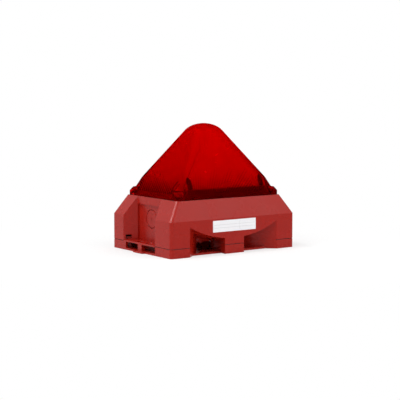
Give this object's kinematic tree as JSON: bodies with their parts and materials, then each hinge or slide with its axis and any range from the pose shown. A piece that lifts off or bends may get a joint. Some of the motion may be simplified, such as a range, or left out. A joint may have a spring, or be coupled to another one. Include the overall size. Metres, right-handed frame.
{
  "type": "horn strobe",
  "caption": "Wall-mounted fire alarm horn strobe: translucent pyramid lens on a sloped housing with flared horn mouths and recessed cable entries, on a low base tray.",
  "frame": {"origin": "centre of the base tray's underside, on the mounting surface", "axes": "+Z out of the mounting surface through the lens tip, +X along the long side towards one cable entry, -Y out of the labelled horn face"},
  "size_m": [0.1668, 0.112, 0.1339],
  "materials": {
    "red_shell": "fine moulded texture",
    "red_lens": "clear polished, ribbed inside",
    "black_rubber": "smooth",
    "black_plastic": "moulded",
    "zinc_screw": "zinc plated",
    "dark_steel": "turned",
    "ferrite": "sintered",
    "cone_film": "formed film",
    "copper_wire": "wound wire",
    "gold_contact": "plated",
    "label_film": "satin film",
    "board_green": "solder mask",
    "terminal_green": "moulded",
    "blue_plastic": "moulded",
    "white_plastic": "moulded",
    "capacitor_sleeve": "shrink sleeve",
    "coil_resin": "dipped resin",
    "clear_glass": "clear drawn glass"
  },
  "bodies": {
    "base": {"base_tray": "red_shell", "base_gasket": "black_rubber", "horn_manifold": "red_shell", "manifold_screws": "zinc_screw", "driver_gasket": "black_rubber", "driver_frame": "black_plastic", "driver_screws": "zinc_screw", "top_plate": "dark_steel", "magnet_ring": "ferrite", "yoke": "dark_steel", "surround": "black_rubber", "contact_post": "black_plastic", "contact_pins": "gold_contact"},
    "hood": {"housing": "red_shell", "rating_label": "label_film", "lens_gasket": "black_rubber", "circuit_board": "board_green", "board_screws": "zinc_screw", "terminal_block": "terminal_green", "terminal_screws": "zinc_screw", "dip_switch": "blue_plastic", "trimmer_body": "blue_plastic", "flash_capacitors": "capacitor_sleeve", "transformer_core": "ferrite", "transformer_winding": "copper_wire", "trigger_coil": "coil_resin", "reflector": "white_plastic", "tube_socket": "white_plastic", "flash_tube": "clear_glass"},
    "lens_cover": {"lens": "red_lens", "lens_screws": "zinc_screw", "lens_screw_seals": "black_rubber"},
    "diaphragm_unit": {"diaphragm": "cone_film", "voice_coil": "copper_wire"},
    "volume_rotor": {"trimmer_rotor": "white_plastic"},
    "tone_switch_1": {"dip_slider_1": "white_plastic"},
    "tone_switch_2": {"dip_slider_2": "white_plastic"},
    "tone_switch_3": {"dip_slider_3": "white_plastic"},
    "tone_switch_4": {"dip_slider_4": "white_plastic"},
    "tone_switch_5": {"dip_slider_5": "white_plastic"},
    "tone_switch_6": {"dip_slider_6": "white_plastic"},
    "tone_switch_7": {"dip_slider_7": "white_plastic"},
    "tone_switch_8": {"dip_slider_8": "white_plastic"}
  },
  "joints": [
    {"name": "hood_lift", "type": "slide", "parent": "base", "child": "hood", "axis": [0, 0, 1], "range_m": [0, 0.06]},
    {"name": "lens_lift", "type": "slide", "parent": "hood", "child": "lens_cover", "axis": [0, 0, 1], "range_m": [0, 0.09]},
    {"name": "diaphragm_stroke", "type": "slide", "parent": "base", "child": "diaphragm_unit", "axis": [0, 0, -1], "range_m": [-0.00035, 0.00035], "stiffness_N_per_m": 4000, "deforming": ["surround"]},
    {"name": "volume_turn", "type": "hinge", "parent": "hood", "child": "volume_rotor", "pos_m": [0, -0.0274, 0.0436], "axis": [0, 0, -1], "range_deg": [-135, 135]},
    {"name": "tone_slide_1", "type": "slide", "parent": "hood", "child": "tone_switch_1", "axis": [0, 1, 0], "range_m": [0, 0.0016]},
    {"name": "tone_slide_2", "type": "slide", "parent": "hood", "child": "tone_switch_2", "axis": [0, 1, 0], "range_m": [0, 0.0016]},
    {"name": "tone_slide_3", "type": "slide", "parent": "hood", "child": "tone_switch_3", "axis": [0, 1, 0], "range_m": [0, 0.0016]},
    {"name": "tone_slide_4", "type": "slide", "parent": "hood", "child": "tone_switch_4", "axis": [0, 1, 0], "range_m": [0, 0.0016]},
    {"name": "tone_slide_5", "type": "slide", "parent": "hood", "child": "tone_switch_5", "axis": [0, 1, 0], "range_m": [0, 0.0016]},
    {"name": "tone_slide_6", "type": "slide", "parent": "hood", "child": "tone_switch_6", "axis": [0, 1, 0], "range_m": [0, 0.0016]},
    {"name": "tone_slide_7", "type": "slide", "parent": "hood", "child": "tone_switch_7", "axis": [0, 1, 0], "range_m": [0, 0.0016]},
    {"name": "tone_slide_8", "type": "slide", "parent": "hood", "child": "tone_switch_8", "axis": [0, 1, 0], "range_m": [0, 0.0016]}
  ]
}
